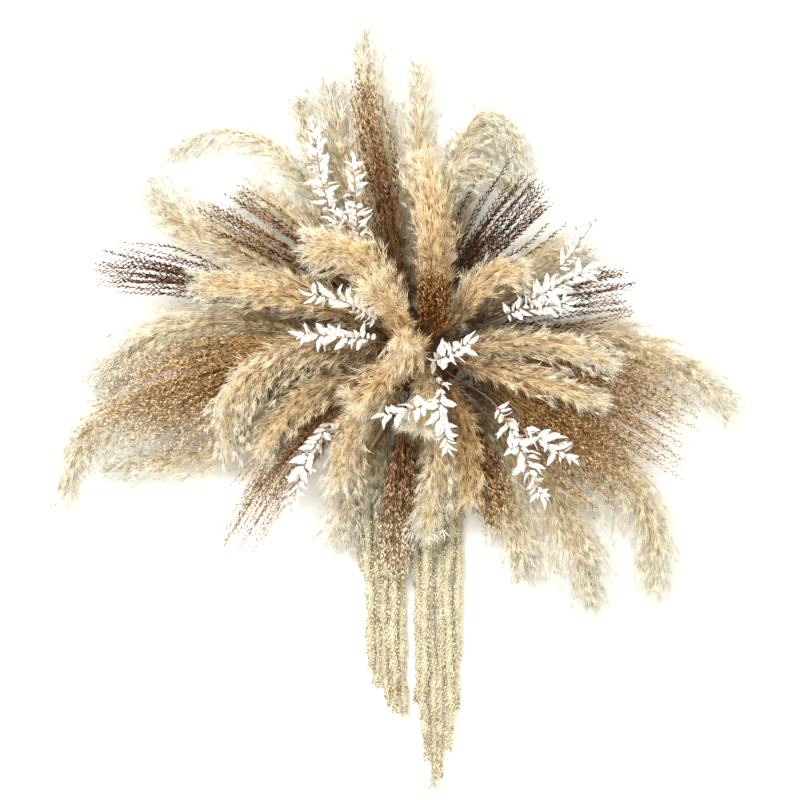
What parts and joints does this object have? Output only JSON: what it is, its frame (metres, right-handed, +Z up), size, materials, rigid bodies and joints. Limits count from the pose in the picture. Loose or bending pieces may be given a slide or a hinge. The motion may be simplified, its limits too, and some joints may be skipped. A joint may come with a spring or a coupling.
{
  "type": "bundle of pampas grass",
  "caption": "Wide radiating spray of dried pampas plumes, reed-grass fans, bleached leafy sprigs and hanging amaranth tails, lying on the flat back of a hidden foam dome.",
  "frame": {"origin": "centre of the flat back of the foam dome at the heart of the spray, on the surface the spray lies on", "axes": "+Z up out of the spray, towards a viewer in front of it; +Y towards the upright plumes, away from the hanging amaranth tails; +X to the viewer's right"},
  "size_m": [0.9085, 0.987, 0.222],
  "materials": {
    "plume": "matte",
    "grass_red_brown": "matte",
    "grass_dark": "matte",
    "grass_rust": "matte",
    "grass_deep_brown": "matte",
    "grass_golden": "matte",
    "grass_grey_brown": "matte",
    "grass_brown": "matte",
    "grass_orange_brown": "matte",
    "ruscus": "satin",
    "amaranth": "matte",
    "foam": "matte"
  },
  "bodies": {
    "root": {"plume_back_01": "plume", "plume_back_02": "plume", "plume_back_03": "plume", "plume_back_04": "plume", "plume_back_05": "plume", "plume_back_06": "plume", "plume_back_07": "plume", "plume_back_08": "plume", "plume_back_09": "plume", "plume_back_10": "plume", "plume_back_11": "plume", "plume_back_12": "plume", "plume_back_13": "plume", "plume_back_14": "plume", "plume_back_15": "plume", "plume_back_16": "plume", "plume_back_17": "plume", "plume_front_01": "plume", "plume_front_02": "plume", "plume_front_03": "plume", "plume_front_04": "plume", "plume_front_05": "plume", "plume_front_06": "plume", "plume_front_07": "plume", "plume_front_08": "plume", "plume_front_09": "plume", "plume_front_10": "plume", "plume_front_11": "plume", "plume_front_12": "plume", "plume_crown_01": "plume", "plume_crown_02": "plume", "plume_crown_03": "plume", "plume_crown_04": "plume", "grass_01": "grass_red_brown", "grass_02": "grass_dark", "grass_03": "grass_rust", "grass_04": "grass_deep_brown", "grass_05": "grass_golden", "grass_06": "grass_golden", "grass_07": "grass_rust", "grass_08": "grass_rust", "grass_09": "grass_grey_brown", "grass_10": "grass_golden", "grass_11": "grass_golden", "grass_12": "grass_brown", "grass_13": "grass_orange_brown", "ruscus_01": "ruscus", "ruscus_02": "ruscus", "ruscus_03": "ruscus", "ruscus_04": "ruscus", "ruscus_05": "ruscus", "ruscus_06": "ruscus", "ruscus_07": "ruscus", "ruscus_08": "ruscus", "ruscus_09": "ruscus", "ruscus_10": "ruscus", "amaranth_left": "amaranth", "amaranth_right": "amaranth", "foam_dome": "foam"}
  },
  "joints": []
}
